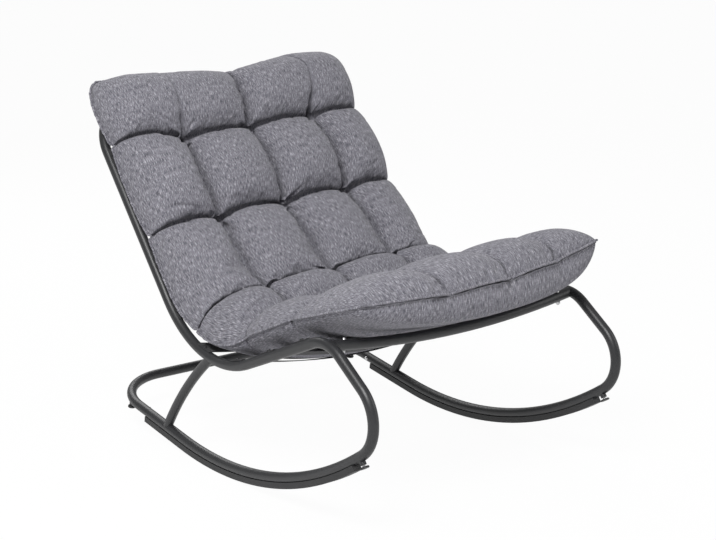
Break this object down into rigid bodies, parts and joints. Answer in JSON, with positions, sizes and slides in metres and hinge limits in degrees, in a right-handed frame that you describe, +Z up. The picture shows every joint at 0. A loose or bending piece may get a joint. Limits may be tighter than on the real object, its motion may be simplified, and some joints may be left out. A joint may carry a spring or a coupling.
{
  "type": "outdoor rocking chair",
  "caption": "Reclined outdoor rocking lounge chair with a bent tube frame, curved rockers, rear hoop, stop feet and a tufted one-piece pad on elastic straps.",
  "frame": {"origin": "on the floor, midway between the points where the two rocker strips touch it", "axes": "+Z up, -Y the way the sitter faces, +X to the sitter's left"},
  "size_m": [0.77, 1.2115, 0.9196],
  "materials": {
    "coated_steel": "satin anthracite powder coat",
    "strip_plastic": "matt black",
    "disc_plastic": "matt black",
    "webbing": "woven black webbing",
    "zinc_steel": "bright zinc",
    "black_steel": "black zinc",
    "pad_fabric": "heathered grey woven cloth"
  },
  "bodies": {
    "chair": {"side_tube_left": "coated_steel", "side_tube_right": "coated_steel", "side_strut_left": "coated_steel", "side_strut_right": "coated_steel", "base_rear_hoop": "coated_steel", "back_top_hoop": "coated_steel", "front_cross_tube": "coated_steel", "cross_tube_stubs": "coated_steel", "hoop_screws": "zinc_steel", "hoop_nuts": "zinc_steel", "cross_tube_bolts": "zinc_steel", "cross_tube_nuts": "zinc_steel", "rocker_strip_left": "strip_plastic", "rocker_strip_right": "strip_plastic", "rocker_strip_screws": "zinc_steel", "stop_foot_bosses": "coated_steel", "seat_strap_front": "webbing", "seat_strap_middle": "webbing", "seat_strap_rear": "webbing", "back_strap_1": "webbing", "back_strap_2": "webbing", "back_strap_3": "webbing", "back_strap_4": "webbing", "back_strap_5": "webbing", "strap_screws": "black_steel", "strap_washers": "black_steel", "cushion_loops": "webbing", "cushion": "pad_fabric"},
    "stop_disc_front_left": {"stop_disc_front_left": "disc_plastic"},
    "stop_stem_front_left": {"stop_stem_front_left": "zinc_steel"},
    "stop_disc_front_right": {"stop_disc_front_right": "disc_plastic"},
    "stop_stem_front_right": {"stop_stem_front_right": "zinc_steel"},
    "stop_disc_rear_left": {"stop_disc_rear_left": "disc_plastic"},
    "stop_stem_rear_left": {"stop_stem_rear_left": "zinc_steel"},
    "stop_disc_rear_right": {"stop_disc_rear_right": "disc_plastic"},
    "stop_stem_rear_right": {"stop_stem_rear_right": "zinc_steel"}
  },
  "joints": [
    {"name": "stop_travel_front_left", "type": "slide", "parent": "chair", "child": "stop_disc_front_left", "axis": [0, -0.5664, -0.8241], "range_m": [-0.0025, 0.01]},
    {"name": "stop_turn_front_left", "type": "hinge", "parent": "stop_disc_front_left", "child": "stop_stem_front_left", "pos_m": [0.3725, -0.57915, 0.17683], "axis": [0, -0.5664, -0.8241], "range_deg": [-722, 2882]},
    {"name": "stop_travel_front_right", "type": "slide", "parent": "chair", "child": "stop_disc_front_right", "axis": [0, -0.5664, -0.8241], "range_m": [-0.0025, 0.01]},
    {"name": "stop_turn_front_right", "type": "hinge", "parent": "stop_disc_front_right", "child": "stop_stem_front_right", "pos_m": [-0.3725, -0.57915, 0.17683], "axis": [0, -0.5664, -0.8241], "range_deg": [-722, 2882]},
    {"name": "stop_travel_rear_left", "type": "slide", "parent": "chair", "child": "stop_disc_rear_left", "axis": [0, 0.1513, -0.9885], "range_m": [-0.0025, 0.01]},
    {"name": "stop_turn_rear_left", "type": "hinge", "parent": "stop_disc_rear_left", "child": "stop_stem_rear_left", "pos_m": [0.36375, 0.41918, 0.04924], "axis": [0, 0.1513, -0.9885], "range_deg": [-722, 2882]},
    {"name": "stop_travel_rear_right", "type": "slide", "parent": "chair", "child": "stop_disc_rear_right", "axis": [0, 0.1513, -0.9885], "range_m": [-0.0025, 0.01]},
    {"name": "stop_turn_rear_right", "type": "hinge", "parent": "stop_disc_rear_right", "child": "stop_stem_rear_right", "pos_m": [-0.36375, 0.41918, 0.04924], "axis": [0, 0.1513, -0.9885], "range_deg": [-722, 2882]}
  ],
  "couplings": [
    {"joint": "stop_turn_front_left", "follows": "stop_travel_front_left", "rad_per_m": 5026.5},
    {"joint": "stop_turn_front_right", "follows": "stop_travel_front_right", "rad_per_m": 5026.5},
    {"joint": "stop_turn_rear_left", "follows": "stop_travel_rear_left", "rad_per_m": 5026.5},
    {"joint": "stop_turn_rear_right", "follows": "stop_travel_rear_right", "rad_per_m": 5026.5}
  ]
}
